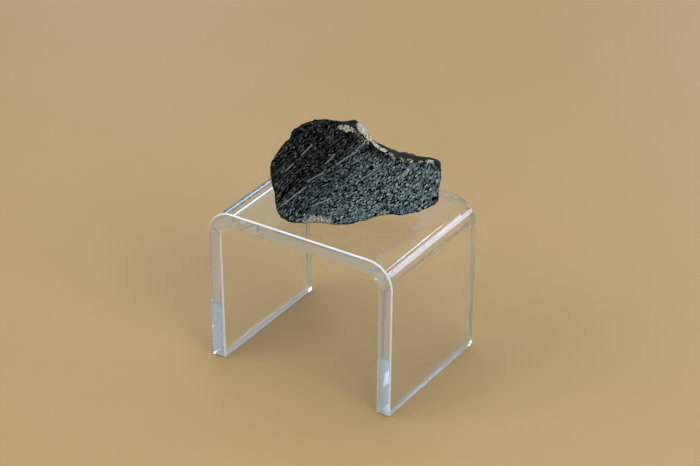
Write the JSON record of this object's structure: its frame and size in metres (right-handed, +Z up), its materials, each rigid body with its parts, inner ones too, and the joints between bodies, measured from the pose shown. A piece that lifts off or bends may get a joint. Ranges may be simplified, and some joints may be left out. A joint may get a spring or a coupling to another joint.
{
  "type": "meteorite on a display riser",
  "caption": "Sawn stone meteorite with a flat, saw-marked face and a rough natural back, resting on a clear bent-acrylic display riser.",
  "frame": {"origin": "on the table, under the middle of the riser", "axes": "+Z up; +X from the riser's left leg to its right leg; the riser's open front faces -Y, and the stone's sawn face looks to -Y turned 34 degrees towards +X"},
  "size_m": [0.0412, 0.0306, 0.0531],
  "materials": {
    "clear_acrylic": "clear cast acrylic, polished faces, saw-cut edges, a little scuffed",
    "meteorite_stone": "charcoal to blue-grey, sawn matt face with fine metal flecks, weathered brown-black back, cream caliche in the chips"
  },
  "bodies": {
    "root": {"display_riser": "clear_acrylic", "meteorite": "meteorite_stone"}
  },
  "joints": []
}
